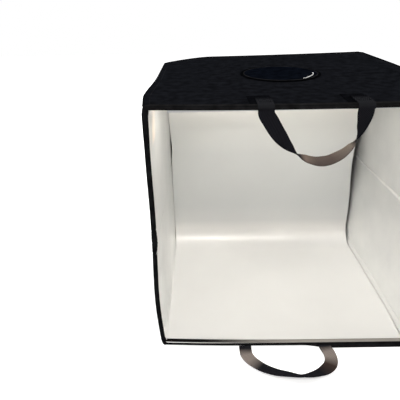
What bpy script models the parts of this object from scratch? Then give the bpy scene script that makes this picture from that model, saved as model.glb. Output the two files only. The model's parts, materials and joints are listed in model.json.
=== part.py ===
"""Folding light tent: seven board-stiffened panels sewn into a cube that is open at the front.

The side walls fold inward at a mid-height crease, so the top comes straight down onto the base.
The back panel is let down rearwards. A white sheet hangs from the ceiling and sweeps onto the floor.
Metres, +Z up, the open front faces -Y, and the origin is the centre of the base's underside.
"""

import math

import bmesh
import bpy
from mathutils import Matrix, Vector

# The cube, measured over its panels
WIDTH = 0.500
DEPTH = 0.500
HEIGHT = 0.500

# The layers of one panel: woven shell, stiffening board and reflective lining
SHELL = 0.0012
BOARD = 0.0030
LINING = 0.0008
FIT = 0.0003  # clearance between pieces that touch
PANEL = SHELL + FIT + BOARD + FIT + LINING
CORNER = 0.007  # radius of a panel's corners

# Binding tape folded over the open front edges
TAPE = 0.0010
TAPE_WRAP = 0.0085
NOSE_R = 0.0012
FOLD_ROOM = 0.0004  # left between two bindings' faces and a fold's axis

# Hook-and-loop tape
HOOK_TAPE = 0.0010
HOOK_TAPE_W = 0.018
HOOK_TAPE_L = 0.300
BACK_GAP = 3 * FIT + 2 * HOOK_TAPE  # between the side walls' rear ends and the back panel

# The fold: hinge axes lie this far off a wall's inner and outer faces
HINGE_OFF = FIT + TAPE + FOLD_ROOM
BASE_RAIL = 0.0040  # soft edge that stands on the base under each side wall
ROOF_RAIL = 0.0085  # soft edge under the roof, deep enough to hide the lamps when folded
RUN_GAP = 0.0005  # between a wall's end and the rail it turns on
CREASE_GAP = 0.0006  # between the two halves of a side wall
WELT = 0.0009  # radius of the corded seams on the fold lines
CREASE_FLAP = 0.006

HALF_W = WIDTH / 2
HALF_D = DEPTH / 2
INNER_X = HALF_W - PANEL
AXIS_X = INNER_X - HINGE_OFF
WALL_STEP = HINGE_OFF + PANEL + HINGE_OFF
FLOOR_Z = PANEL
CEILING_Z = HEIGHT - PANEL
LOW_AXIS_Z = FLOOR_Z + BASE_RAIL + RUN_GAP
HIGH_AXIS_Z = CEILING_Z - ROOF_RAIL - RUN_GAP
WALL_HALF = (HIGH_AXIS_Z - LOW_AXIS_Z) / 2
CREASE_Z = LOW_AXIS_Z + WALL_HALF
FRONT_Y = -HALF_D
REAR_Y = HALF_D - PANEL - BACK_GAP
WELT_Y = FRONT_Y + TAPE_WRAP + FIT  # the corded seams start behind the bindings
BACK_AXIS_Z = 0.0012

# The round port in the roof and the soft disc that closes it
PORT_R = 0.0750
PORT_RIM = 0.0060
DISC_GAP = 0.0030
DISC = 0.0020
DISC_DROP = 0.0008  # how far the disc lies under the rim's top
DISC_SHIFT = 0.0018  # the disc lies off centre, towards the left and the rear
DISC_TONGUE = 0.034
TONGUE_RISE = 0.0034  # the tongue has risen over the rim this far inside it

# The white sheet: its path goes along the ceiling, down, round and forward over the floor
SHEET = 0.0008
SHEET_SIDE_GAP = 0.0060
SHEET_FRONT_GAP = 0.0120
SHEET_BACK_Y = REAR_Y - 0.0985
SHEET_HANG_Y = REAR_Y - 0.0515
SHEET_LEAN_Z = HEIGHT - 0.140
SHEET_LIP = 0.026
SHEET_SWEEP_R = 0.052
SHEET_TOP_R = 0.020
SHEET_LEAN_R = 0.200

# Lamp bars under the roof
LAMP_END = 0.035  # from a lamp's end to the outside of the side wall
LAMP_L = WIDTH - 2 * LAMP_END
LAMP_W = 0.026
LAMP_H = 0.0062
LAMP_WALL = 0.0010
LAMP_BOARD = 0.0012
LAMP_COVER = 0.0010
LAMP_SET = 0.028  # the front lamp's middle, behind the front edge
LAMP_PORT_GAP = 0.018
LAMP_FRONT_Y = FRONT_Y + LAMP_SET
LAMP_REAR_Y = -(PORT_R + PORT_RIM + LAMP_PORT_GAP + LAMP_W / 2)
CHIP_L = 0.0035
CHIP_W = 0.0028
CHIP_H = 0.0009
CHIP_PITCH = 0.0180
INLET_L = 0.0120
INLET_W = 0.0100
INLET_H = 0.0060
INLET_BORE_R = 0.0019
INLET_DEPTH = 0.0085

# Carrying loops of 25 mm webbing
WEB_W = 0.0240
WEB = 0.0015
TOP_LOOP_X = 0.0125
TOP_LOOP_SPAN = 0.151
TOP_LOOP_DROP = 0.084
TOP_TAB_L = 0.046
BASE_LOOP_X = 0.0
BASE_LOOP_SPAN = 0.162
BASE_LOOP_REACH = 0.082
BASE_LOOP_Z = 0.0029
LOOP_OUT = FIT + TAPE + FIT  # from the panels' front ends to the webbing's back face


def material(name, colour, roughness, metallic=0.0):
    made = bpy.data.materials.new(name)
    made.use_nodes = True
    shader = made.node_tree.nodes["Principled BSDF"]
    shader.inputs["Base Color"].default_value = (*colour, 1.0)
    shader.inputs["Roughness"].default_value = roughness
    shader.inputs["Metallic"].default_value = metallic
    made.diffuse_color = (*colour, 1.0)
    return made


for old in list(bpy.data.objects):
    bpy.data.objects.remove(old)

TENT = bpy.data.collections.new("light_tent")
CUTTERS = bpy.data.collections.new("cutters")
bpy.context.scene.collection.children.link(TENT)
bpy.context.scene.collection.children.link(CUTTERS)

OXFORD = material("black_oxford", (0.010, 0.011, 0.013), 0.85)
BINDING = material("black_binding", (0.008, 0.008, 0.010), 0.70)
SILVER = material("silver_lining", (0.72, 0.73, 0.72), 0.45, 0.2)
STIFFENER = material("stiffening_board", (0.55, 0.55, 0.52), 0.60)
WHITE_SHEET = material("white_sheet", (0.86, 0.86, 0.84), 0.55)
WEBBING = material("black_webbing", (0.012, 0.012, 0.013), 0.75)
HOOKS = material("hook_tape", (0.020, 0.020, 0.022), 0.90)
ALUMINIUM = material("lamp_aluminium", (0.75, 0.76, 0.77), 0.35, 1.0)
CIRCUIT = material("lamp_circuit", (0.85, 0.86, 0.84), 0.50)
DIFFUSER = material("lamp_diffuser", (0.92, 0.90, 0.84), 0.40)
INLET = material("inlet_plastic", (0.020, 0.020, 0.022), 0.35)


def keep(obj, name, finish, carrier=None):
    """Names a finished piece, gives it its material and hangs it on its carrier, where it is."""
    obj.name = name
    obj.data.name = name
    obj.data.materials.clear()
    obj.data.materials.append(finish)
    TENT.objects.link(obj)
    if carrier is not None:
        bpy.context.view_layer.update()
        obj.parent = carrier
        obj.matrix_parent_inverse = carrier.matrix_world.inverted()
    return obj


def pivot(name, place, carrier=None):
    """An empty on a joint's axis, which carries the pieces that turn about it."""
    empty = bpy.data.objects.new(name, None)
    empty.empty_display_size = 0.02
    empty.location = place
    TENT.objects.link(empty)
    bpy.context.view_layer.update()
    if carrier is not None:
        empty.parent = carrier
        empty.matrix_parent_inverse = carrier.matrix_world.inverted()
        bpy.context.view_layer.update()
    return empty


def cutter(obj, name):
    obj.name = name
    obj.hide_render = True
    obj.display_type = "WIRE"
    CUTTERS.objects.link(obj)
    return obj


def boolean(obj, tool, operation):
    cut = obj.modifiers.new(operation.lower(), "BOOLEAN")
    cut.operation = operation
    cut.solver = "EXACT"
    cut.object = tool


def slab_mesh(low, high, axis, radius, segments=4):
    """A box from corner to corner, with the four edges along one axis rounded."""
    low, high = Vector(low), Vector(high)
    bm = bmesh.new()
    bmesh.ops.create_cube(bm, size=1.0)
    size = high - low
    bmesh.ops.transform(
        bm,
        matrix=Matrix.Translation((low + high) / 2) @ Matrix.Diagonal((*size, 1.0)),
        verts=bm.verts,
    )
    if radius > 0:
        along = [e for e in bm.edges if abs((e.verts[0].co - e.verts[1].co)[axis]) > 1e-9]
        bmesh.ops.bevel(
            bm, geom=along, offset=radius, segments=segments, profile=0.5, affect="EDGES"
        )
    return bm


def object_of(bm, name):
    mesh = bpy.data.meshes.new(name)
    bmesh.ops.recalc_face_normals(bm, faces=bm.faces)
    bm.to_mesh(mesh)
    bm.free()
    return bpy.data.objects.new(name, mesh)


def slab(name, low, high, axis, radius, finish, carrier=None, segments=4):
    return keep(object_of(slab_mesh(low, high, axis, radius, segments), name), name, finish, carrier)


def tray(name, low, high, axis, inward, carrier=None):
    """A panel's woven shell: a slab hollowed from its inner side, so that only its skin and rims stay."""
    bm = slab_mesh(low, high, axis, CORNER)
    normal = Vector([inward if k == axis else 0.0 for k in range(3)])
    bmesh.ops.recalc_face_normals(bm, faces=bm.faces)
    mouth = max(bm.faces, key=lambda f: f.normal.dot(normal) * f.calc_area())
    bmesh.ops.inset_region(bm, faces=[mouth], thickness=SHELL, depth=0.0)
    sunk = bmesh.ops.extrude_face_region(bm, geom=[mouth])
    moved = [v for v in sunk["geom"] if isinstance(v, bmesh.types.BMVert)]
    bmesh.ops.translate(bm, verts=moved, vec=-normal * (PANEL - SHELL))
    bmesh.ops.delete(bm, geom=[mouth], context="FACES_ONLY")
    return keep(object_of(bm, name), name, OXFORD, carrier)


def layer(name, low, high, axis, inward, depth, thick, finish, carrier=None):
    """A board or a lining inside a shell, whose near face lies at a depth under the shell's mouth."""
    low, high = Vector(low), Vector(high)
    rim = SHELL + FIT
    for k in range(3):
        if k != axis:
            low[k] += rim
            high[k] -= rim
    if inward > 0:
        high[axis] -= depth
        low[axis] = high[axis] - thick
    else:
        low[axis] += depth
        high[axis] = low[axis] + thick
    return slab(name, low, high, axis, CORNER - rim, finish, carrier)


def panel(stem, low, high, axis, inward, carrier=None):
    """The three layers of one panel; inward is the sign of the side that faces the tent's inside."""
    shell = tray(f"{stem}_cover", low, high, axis, inward, carrier)
    board = layer(
        f"{stem}_board", low, high, axis, inward, LINING + FIT, BOARD, STIFFENER, carrier
    )
    lining = layer(f"{stem}_lining", low, high, axis, inward, 0.0, LINING, SILVER, carrier)
    return shell, board, lining


def prism(name, outline, axis, start, end, finish, carrier=None):
    """A flat outline drawn out along one axis. The outline is (x, z) along Y, (y, z) along X and (x, y) along Z."""
    curve = bpy.data.curves.new(name, "CURVE")
    curve.dimensions = "2D"
    curve.fill_mode = "BOTH"
    curve.extrude = (end - start) / 2
    spline = curve.splines.new("POLY")
    spline.points.add(len(outline) - 1)
    for point, (a, b) in zip(spline.points, outline):
        point.co = (a, b, 0.0, 1.0)
    spline.use_cyclic_u = True
    obj = bpy.data.objects.new(name, curve)
    middle = (start + end) / 2
    obj.location = [middle if k == "XYZ".index(axis) else 0.0 for k in range(3)]
    turned = {"X": (math.pi / 2, 0.0, math.pi / 2), "Y": (math.pi / 2, 0.0, 0.0), "Z": (0.0, 0.0, 0.0)}
    obj.rotation_euler = turned[axis]
    return keep(solid_of(obj, name), name, finish, carrier)


def solid_of(obj, name):
    """A curve's closed mesh, with its loose caps welded on."""
    bpy.context.scene.collection.objects.link(obj)
    bpy.context.view_layer.update()
    seen = obj.evaluated_get(bpy.context.evaluated_depsgraph_get())
    mesh = bpy.data.meshes.new_from_object(seen)
    place = obj.matrix_world.copy()
    bpy.data.objects.remove(obj)
    bm = bmesh.new()
    bm.from_mesh(mesh)
    bmesh.ops.remove_doubles(bm, verts=bm.verts, dist=0.00001)
    bmesh.ops.recalc_face_normals(bm, faces=bm.faces)
    bm.to_mesh(mesh)
    bm.free()
    made = bpy.data.objects.new(name, mesh)
    made.matrix_world = place
    return made


def arc(centre, radius, start, end, steps):
    """Points on an arc from one angle to another, in degrees."""
    return [
        (
            centre[0] + radius * math.cos(math.radians(start + (end - start) * i / steps)),
            centre[1] + radius * math.sin(math.radians(start + (end - start) * i / steps)),
        )
        for i in range(steps + 1)
    ]


def binding(name, face_low, face_high, axis, start, end, carrier=None, under=True):
    """Tape folded over a panel's front edge: a channel with a rounded nose, drawn out along X or Z.

    Where the panel stands on the table there is no tape under it, and the nose comes down to the table.
    """
    out_low = face_low - FIT - TAPE if under else face_low
    out_high = face_high + FIT + TAPE
    in_high = face_high + FIT
    seat = FRONT_Y - FIT
    nose = seat - TAPE
    lip = FRONT_Y + TAPE_WRAP
    if under:
        outline = [(lip, out_low)]
        outline += arc((nose + NOSE_R, out_low + NOSE_R), NOSE_R, 270, 180, 3)
    else:
        outline = [(seat, out_low), (nose, out_low)]
    outline += arc((nose + NOSE_R, out_high - NOSE_R), NOSE_R, 180, 90, 3)
    outline += [(lip, out_high), (lip, in_high), (seat, in_high)]
    if under:
        outline += [(seat, face_low - FIT), (lip, face_low - FIT)]
    if axis == "Z":
        outline = [(b, a) for a, b in reversed(outline)]
    return prism(name, outline, axis, start, end, BINDING, carrier)


def rail(name, side, low, high, bead_z, carrier=None):
    """Soft edge along a side of the base or roof, with the corded seam that its wall turns on."""
    outer = HALF_W - FIT
    outline = [(INNER_X, low), (outer, low), (outer, high), (INNER_X, high)]
    obj = prism(
        name, [(side * x, z) for x, z in outline][::side], "Y", FRONT_Y + CORNER, REAR_Y, OXFORD, carrier
    )
    bead = bmesh.new()
    ring = arc((side * AXIS_X, bead_z), WELT, 0, 315, 7)
    verts = [bead.verts.new((x, WELT_Y, z)) for x, z in ring]
    face = bead.faces.new(verts)
    drawn = bmesh.ops.extrude_face_region(bead, geom=[face])
    far = [v for v in drawn["geom"] if isinstance(v, bmesh.types.BMVert)]
    bmesh.ops.translate(bead, verts=far, vec=(0, REAR_Y - WELT_Y, 0))
    cord = cutter(object_of(bead, f"{name}_cord"), f"{name}_cord")
    inward = math.copysign(WELT, low + high - 2 * bead_z)
    near = high if inward < 0 else low
    flange_low, flange_high = sorted((bead_z + inward / 3, near + inward * 3 / 2))
    x_low, x_high = sorted((side * (AXIS_X - WELT / 2), side * (INNER_X + WELT / 2)))
    web = slab_mesh((x_low, WELT_Y, flange_low), (x_high, REAR_Y, flange_high), 1, 0)
    flange = cutter(object_of(web, f"{name}_flange"), f"{name}_flange")
    boolean(obj, flange, "UNION")
    boolean(obj, cord, "UNION")
    return obj


def rounded_path(corners, radii, step):
    """A line through corners whose turns are arcs; step is the angle between an arc's points, in degrees."""
    points = [Vector(corners[0])]
    for before, at, after, radius in zip(corners, corners[1:], corners[2:], radii):
        before, at, after = Vector(before), Vector(at), Vector(after)
        u, v = (before - at).normalized(), (after - at).normalized()
        turn = math.pi - u.angle(v)
        reach = radius * math.tan(turn / 2)
        centre = at + (u + v).normalized() * radius / math.cos(turn / 2)
        first = at + u * reach - centre
        last = at + v * reach - centre
        count = max(2, math.ceil(math.degrees(turn) / step))
        for i in range(count + 1):
            points.append(centre + first.slerp(last, i / count) * radius)
    points.append(Vector(corners[-1]))
    return points


def cylinder_tool(name, radius, low, high, sides=48):
    bm = bmesh.new()
    bmesh.ops.create_cone(
        bm,
        cap_ends=True,
        segments=sides,
        radius1=radius,
        radius2=radius,
        depth=high - low,
        matrix=Matrix.Translation((0, 0, (low + high) / 2)),
    )
    return cutter(object_of(bm, name), name)


def turned(name, profile, steps, finish, carrier=None):
    """A closed (radius, height) profile turned about Z."""
    bm = bmesh.new()
    verts = [bm.verts.new((r, 0.0, z)) for r, z in profile]
    edges = [bm.edges.new((a, b)) for a, b in zip(verts, verts[1:] + verts[:1])]
    bmesh.ops.spin(
        bm,
        geom=verts + edges,
        cent=(0, 0, 0),
        axis=(0, 0, 1),
        angle=2 * math.pi,
        steps=steps,
        use_merge=True,
        use_duplicate=False,
    )
    bmesh.ops.remove_doubles(bm, verts=bm.verts, dist=0.00001)
    return keep(object_of(bm, name), name, finish, carrier)


def loop(shares, half_span, reach):
    """A loop's points, from shares of its half span (across) and of its reach (out, and off its plane)."""
    return [(half_span * across, -reach * out, reach * off) for across, out, off in shares]


def strap(name, points, tilts, place, rotation, carrier=None, steps=4):
    """Flat webbing along a smooth line. A tilt of 0 stands it on edge in the loop's own plane."""
    curve = bpy.data.curves.new(name, "CURVE")
    curve.dimensions = "3D"
    curve.twist_mode = "Z_UP"
    curve.fill_mode = "FULL"
    curve.extrude = (WEB_W - WEB) / 2
    curve.bevel_depth = WEB / 2
    curve.bevel_resolution = 1
    curve.use_fill_caps = True
    curve.resolution_u = steps
    spline = curve.splines.new("BEZIER")
    spline.bezier_points.add(len(points) - 1)
    for point, co, tilt in zip(spline.bezier_points, points, tilts):
        point.co = co
        point.handle_left_type = "AUTO"
        point.handle_right_type = "AUTO"
        point.tilt = math.radians(tilt)
    obj = bpy.data.objects.new(name, curve)
    obj.location = place
    obj.rotation_euler = rotation
    return keep(solid_of(obj, name), name, WEBBING, carrier)


# Joint axes
left_low = pivot("left_lower_axis", (-AXIS_X, 0, LOW_AXIS_Z))
left_high = pivot("left_upper_axis", (-AXIS_X - WALL_STEP, 0, CREASE_Z), left_low)
roof = pivot("roof_axis", (-AXIS_X, 0, HIGH_AXIS_Z), left_high)
right_low = pivot("right_lower_axis", (AXIS_X, 0, LOW_AXIS_Z))
right_high = pivot("right_upper_axis", (AXIS_X + WALL_STEP, 0, CREASE_Z), right_low)
back = pivot("back_axis", (0, HALF_D + HINGE_OFF, BACK_AXIS_Z))

# Base
panel("bottom", (-HALF_W, FRONT_Y, 0), (HALF_W, REAR_Y, FLOOR_Z), 2, 1)
binding(
    "bottom_front_binding", 0, FLOOR_Z, "X", -HALF_W + CORNER, HALF_W - CORNER, under=False
)
for side, word in ((-1, "left"), (1, "right")):
    rail(f"bottom_{word}_edge", side, FLOOR_Z + FIT, FLOOR_Z + BASE_RAIL, LOW_AXIS_Z)

# Side walls, each in a lower and an upper half
for side, word, low_carrier, high_carrier in (
    (-1, "left", left_low, left_high),
    (1, "right", right_low, right_high),
):
    x_low, x_high = sorted((side * INNER_X, side * HALF_W))
    halves = (
        ("lower", LOW_AXIS_Z, CREASE_Z - CREASE_GAP / 2, low_carrier),
        ("upper", CREASE_Z + CREASE_GAP / 2, HIGH_AXIS_Z, high_carrier),
    )
    for half, z_low, z_high, carrier in halves:
        panel(
            f"{word}_{half}", (x_low, FRONT_Y, z_low), (x_high, REAR_Y, z_high), 0, -side, carrier
        )
        binding(
            f"{word}_{half}_binding",
            x_low,
            x_high,
            "Z",
            z_low + (CORNER if half == "lower" else 0.0),
            z_high - (CORNER if half == "upper" else 0.0),
            carrier,
        )
    cord_x = AXIS_X + WALL_STEP
    flap_x = HALF_W + FIT
    flap_top = CREASE_Z - WELT / 3
    welt = [(flap_x, flap_top), (flap_x, CREASE_Z - CREASE_FLAP)]
    welt += [(flap_x + TAPE, CREASE_Z - CREASE_FLAP)]
    welt += arc((cord_x, CREASE_Z), WELT, 225, 540, 7)
    welt = [(side * x, z) for x, z in welt[::side]]
    prism(f"{word}_crease_welt", welt, "Y", WELT_Y, REAR_Y, OXFORD, low_carrier)

# Roof with its round port
roof_layers = panel("top", (-HALF_W, FRONT_Y, CEILING_Z), (HALF_W, REAR_Y, HEIGHT), 2, -1, roof)
port_hole = cylinder_tool("port_hole", PORT_R + TAPE + FIT, CEILING_Z - 0.01, HEIGHT + 0.01)
for piece in roof_layers:
    boolean(piece, port_hole, "DIFFERENCE")
binding(
    "top_front_binding", CEILING_Z, HEIGHT, "X", -HALF_W + CORNER, HALF_W - CORNER, roof
)
for side, word in ((-1, "left"), (1, "right")):
    rail(f"top_{word}_edge", side, CEILING_Z - ROOF_RAIL, CEILING_Z - FIT, HIGH_AXIS_Z, roof)
RIM_TOP = HEIGHT + FIT + TAPE
RIM_LOW = CEILING_Z - FIT - TAPE
rim_profile = [
    (PORT_R, RIM_LOW + TAPE / 2),
    (PORT_R + TAPE / 2, RIM_LOW),
    (PORT_R + PORT_RIM, RIM_LOW),
    (PORT_R + PORT_RIM, RIM_LOW + TAPE),
    (PORT_R + TAPE, RIM_LOW + TAPE),
    (PORT_R + TAPE, RIM_TOP - TAPE),
    (PORT_R + PORT_RIM, RIM_TOP - TAPE),
    (PORT_R + PORT_RIM, RIM_TOP),
    (PORT_R + TAPE / 2, RIM_TOP),
    (PORT_R, RIM_TOP - TAPE / 2),
]
turned("port_rim", rim_profile, 48, BINDING, roof)

# Soft disc that closes the port, hinged behind the rim by its tongue
TONGUE_Z = RIM_TOP + FIT
DISC_TOP = RIM_TOP - DISC_DROP
HINGE_Y = PORT_R + PORT_RIM + 0.0025
port_axis = pivot("port_cover_axis", (-DISC_SHIFT, HINGE_Y, TONGUE_Z + DISC / 2), roof)
disc = bmesh.new()
bmesh.ops.create_cone(
    disc,
    cap_ends=True,
    segments=48,
    radius1=PORT_R - DISC_GAP,
    radius2=PORT_R - DISC_GAP,
    depth=DISC,
    matrix=Matrix.Translation((-DISC_SHIFT, DISC_SHIFT, DISC_TOP - DISC / 2)),
)
cover = keep(object_of(disc, "port_cover"), "port_cover", OXFORD, port_axis)
tongue_front = PORT_R - DISC_GAP - 0.016
tongue_shape = [
    (tongue_front, DISC_TOP - DISC / 2),
    (PORT_R - DISC_GAP - 0.006, DISC_TOP - DISC / 2),
    (PORT_R - TONGUE_RISE, TONGUE_Z),
    (HINGE_Y, TONGUE_Z),
    (HINGE_Y, TONGUE_Z + DISC / 2),
    (PORT_R - TONGUE_RISE, TONGUE_Z + DISC / 2),
    (tongue_front, DISC_TOP + DISC / 4),
]
tongue = prism(
    "port_tongue", tongue_shape, "X", -DISC_SHIFT - DISC_TONGUE / 2, -DISC_SHIFT + DISC_TONGUE / 2, OXFORD
)
TENT.objects.unlink(tongue)
boolean(cover, cutter(tongue, "port_tongue"), "UNION")

# Lamp bars: an aluminium channel, its circuit board with light chips, a diffuser and a power inlet
for word, lamp_y in (("front", LAMP_FRONT_Y), ("rear", LAMP_REAR_Y)):
    top_z = CEILING_Z - FIT
    low_z = top_z - LAMP_H
    half = LAMP_W / 2
    channel = [
        (lamp_y - half, low_z),
        (lamp_y - half, top_z),
        (lamp_y + half, top_z),
        (lamp_y + half, low_z),
        (lamp_y + half - LAMP_WALL, low_z),
        (lamp_y + half - LAMP_WALL, top_z - LAMP_WALL),
        (lamp_y - half + LAMP_WALL, top_z - LAMP_WALL),
        (lamp_y - half + LAMP_WALL, low_z),
    ]
    prism(f"led_{word}_channel", channel[::-1], "X", -LAMP_L / 2, LAMP_L / 2, ALUMINIUM, roof)
    seat = half - LAMP_WALL - FIT
    board_z = top_z - LAMP_WALL - FIT
    lamp_board = slab(
        f"led_{word}_board",
        (-LAMP_L / 2 + LAMP_WALL, lamp_y - seat, board_z - LAMP_BOARD),
        (LAMP_L / 2 - LAMP_WALL, lamp_y + seat, board_z),
        2,
        0,
        CIRCUIT,
        roof,
    )
    chips = int((LAMP_L - 2 * CHIP_PITCH) / CHIP_PITCH)
    chip = slab_mesh(
        (-chips * CHIP_PITCH / 2 - CHIP_L / 2, lamp_y - CHIP_W / 2, board_z - LAMP_BOARD - CHIP_H),
        (-chips * CHIP_PITCH / 2 + CHIP_L / 2, lamp_y + CHIP_W / 2, board_z - LAMP_BOARD / 2),
        2,
        0,
    )
    first = list(chip.verts) + list(chip.edges) + list(chip.faces)
    for i in range(1, chips + 1):
        copied = bmesh.ops.duplicate(chip, geom=first)
        moved = [v for v in copied["geom"] if isinstance(v, bmesh.types.BMVert)]
        bmesh.ops.translate(chip, verts=moved, vec=(i * CHIP_PITCH, 0, 0))
    boolean(lamp_board, cutter(object_of(chip, f"led_{word}_chips"), f"led_{word}_chips"), "UNION")
    slab(
        f"led_{word}_diffuser",
        (-LAMP_L / 2 + LAMP_WALL, lamp_y - seat, low_z + FIT),
        (LAMP_L / 2 - LAMP_WALL, lamp_y + seat, low_z + FIT + LAMP_COVER),
        2,
        0.001,
        DIFFUSER,
        roof,
        2,
    )
    inlet = slab(
        f"led_{word}_inlet",
        (LAMP_L / 2 + FIT, lamp_y - INLET_W / 2, top_z - INLET_H),
        (LAMP_L / 2 + FIT + INLET_L, lamp_y + INLET_W / 2, top_z),
        0,
        0.0012,
        INLET,
        roof,
        2,
    )
    bore = bmesh.new()
    mouth = LAMP_L / 2 + FIT + INLET_L
    bmesh.ops.create_cone(
        bore,
        cap_ends=True,
        segments=16,
        radius1=INLET_BORE_R,
        radius2=INLET_BORE_R,
        depth=2 * INLET_DEPTH,
        matrix=Matrix.Translation((mouth, lamp_y, top_z - INLET_H / 2))
        @ Matrix.Rotation(math.pi / 2, 4, "Y"),
    )
    boolean(inlet, cutter(object_of(bore, f"led_{word}_bore"), f"led_{word}_bore"), "DIFFERENCE")

# Back panel, let down rearwards about its lower outer edge
panel("back", (-HALF_W, HALF_D - PANEL, BACK_AXIS_Z), (HALF_W, HALF_D, HEIGHT), 1, -1, back)
back_welt = [(REAR_Y + FIT, 0), (HALF_D + HINGE_OFF + WELT / 2, 0)]
back_welt += arc((HALF_D + HINGE_OFF, BACK_AXIS_Z), WELT, -45, 200, 7)
back_welt += [(REAR_Y + FIT, BACK_AXIS_Z - FIT)]
prism("back_hinge_welt", back_welt, "X", -HALF_W + CORNER, HALF_W - CORNER, OXFORD)
slab(
    "back_hook_tape",
    (-HOOK_TAPE_L / 2, HALF_D - PANEL - FIT - HOOK_TAPE, HEIGHT - PANEL),
    (HOOK_TAPE_L / 2, HALF_D - PANEL - FIT, HEIGHT - FIT),
    1,
    0.001,
    HOOKS,
    back,
    2,
)
slab(
    "top_loop_tape",
    (-HOOK_TAPE_L / 2, REAR_Y + FIT, HEIGHT - PANEL),
    (HOOK_TAPE_L / 2, REAR_Y + FIT + TAPE, HEIGHT - FIT),
    1,
    0.001,
    HOOKS,
    roof,
    2,
)

# White sheet, and the tape on the ceiling that holds its lip
LIP_Z = CEILING_Z - FIT - HOOK_TAPE - FIT - SHEET / 2
sheet_line = rounded_path(
    [
        (SHEET_HANG_Y + SHEET_LIP, LIP_Z),
        (SHEET_HANG_Y, LIP_Z),
        (SHEET_BACK_Y, SHEET_LEAN_Z),
        (SHEET_BACK_Y, FLOOR_Z + FIT + SHEET / 2),
        (FRONT_Y + SHEET_FRONT_GAP, FLOOR_Z + FIT + SHEET / 2),
    ],
    [SHEET_TOP_R, SHEET_LEAN_R, SHEET_SWEEP_R],
    10,
)
SHEET_HALF = INNER_X - SHEET_SIDE_GAP
sheet = bmesh.new()
left_edge = [sheet.verts.new((-SHEET_HALF, y, z)) for y, z in sheet_line]
line = [sheet.edges.new(pair) for pair in zip(left_edge, left_edge[1:])]
drawn = bmesh.ops.extrude_edge_only(sheet, edges=line)
bmesh.ops.translate(
    sheet,
    verts=[v for v in drawn["geom"] if isinstance(v, bmesh.types.BMVert)],
    vec=(2 * SHEET_HALF, 0, 0),
)
backdrop = keep(object_of(sheet, "backdrop_sheet"), "backdrop_sheet", WHITE_SHEET)
wall = backdrop.modifiers.new("thickness", "SOLIDIFY")
wall.thickness = SHEET
wall.offset = 0.0
slab(
    "backdrop_hook_tape",
    (-HOOK_TAPE_L / 2, SHEET_HANG_Y + SHEET_LIP - HOOK_TAPE_W, CEILING_Z - FIT - HOOK_TAPE),
    (HOOK_TAPE_L / 2, SHEET_HANG_Y + SHEET_LIP, CEILING_Z - FIT),
    2,
    0.001,
    HOOKS,
    roof,
    2,
)

# Webbing ends sewn on the roof: flat behind the front edge, then turned down over it
TAB_Z = HEIGHT + FIT + TAPE + FIT
LOOP_Y = FRONT_Y - LOOP_OUT - WEB / 2
TAB_END_Z = HEIGHT - 0.0065
TAB_TURN = 0.0030
for side, word in ((-1, "left"), (1, "right")):
    centre = TOP_LOOP_X + side * TOP_LOOP_SPAN / 2
    out_y = LOOP_Y - WEB / 2
    in_y = LOOP_Y + WEB / 2
    tab_top = TAB_Z + WEB
    shape = [(FRONT_Y + TOP_TAB_L, tab_top)]
    shape += arc((out_y + TAB_TURN, tab_top - TAB_TURN), TAB_TURN, 90, 180, 4)
    shape += [(out_y, TAB_END_Z), (in_y, TAB_END_Z)]
    shape += arc((in_y + TAB_TURN - WEB, TAB_Z - TAB_TURN + WEB), TAB_TURN - WEB, 180, 90, 4)
    shape += [(FRONT_Y + TOP_TAB_L, TAB_Z)]
    prism(
        f"top_handle_{word}_tab",
        shape[::-1],
        "X",
        centre - WEB_W / 2,
        centre + WEB_W / 2,
        WEBBING,
        roof,
    )

# Roof handle: hangs in front of the opening and turns to show its inner face at the bottom
LOOP_TOP_Z = TAB_END_Z - FIT
top_swing = pivot(
    "top_handle_axis", (TOP_LOOP_X, LOOP_Y - WEB / 2 - FIT, TAB_END_Z - FIT / 2), roof
)
strap(
    "top_handle",
    loop(
        [
            (-1.0, 0.0, 0.0),
            (-1.0, 0.05, 0.0),
            (-0.88, 0.21, 0.01),
            (-0.70, 0.46, 0.03),
            (-0.53, 0.67, 0.04),
            (-0.36, 0.83, 0.05),
            (-0.15, 0.94, 0.06),
            (0.18, 1.0, 0.07),
            (0.51, 0.89, 0.06),
            (0.76, 0.70, 0.05),
            (0.87, 0.56, 0.04),
            (0.96, 0.33, 0.02),
            (1.0, 0.08, 0.0),
            (1.0, 0.0, 0.0),
        ],
        TOP_LOOP_SPAN / 2,
        TOP_LOOP_DROP,
    ),
    [-90, -90, -86, -72, -50, -16, 8, 14, 10, 0, -24, -56, -90, -90],
    (TOP_LOOP_X, LOOP_Y, LOOP_TOP_Z),
    (math.pi / 2, 0, 0),
    top_swing,
)

# Base handle: lies out on the table, flat where it leaves the seam and leaning on edge at its far end
BASE_LOOP_Y = FRONT_Y - LOOP_OUT
base_swing = pivot("bottom_handle_axis", (BASE_LOOP_X, BASE_LOOP_Y, BASE_LOOP_Z + WEB / 2))
strap(
    "bottom_handle",
    loop(
        [
            (-1.0, 0.0, 0.0),
            (-1.0, 0.10, 0.0),
            (-0.98, 0.30, 0.0),
            (-0.75, 0.64, 0.005),
            (-0.40, 0.87, 0.03),
            (-0.09, 0.945, 0.055),
            (0.24, 1.0, 0.08),
            (0.61, 0.94, 0.05),
            (0.87, 0.775, 0.02),
            (1.03, 0.54, 0.0),
            (1.06, 0.30, 0.0),
            (1.0, 0.08, 0.0),
            (1.0, 0.0, 0.0),
        ],
        BASE_LOOP_SPAN / 2,
        BASE_LOOP_REACH,
    ),
    [-90, -90, -91, -98, -108, -118, -131, -115, -97, -90, -90, -90, -90],
    (BASE_LOOP_X, BASE_LOOP_Y, BASE_LOOP_Z),
    (0, 0, 0),
    base_swing,
)
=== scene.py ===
"""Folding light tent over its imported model: cloth, tape, lining, sheet, lamps and loops."""

import json
import math

import bpy
from mathutils import Matrix, Vector, noise


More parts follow.
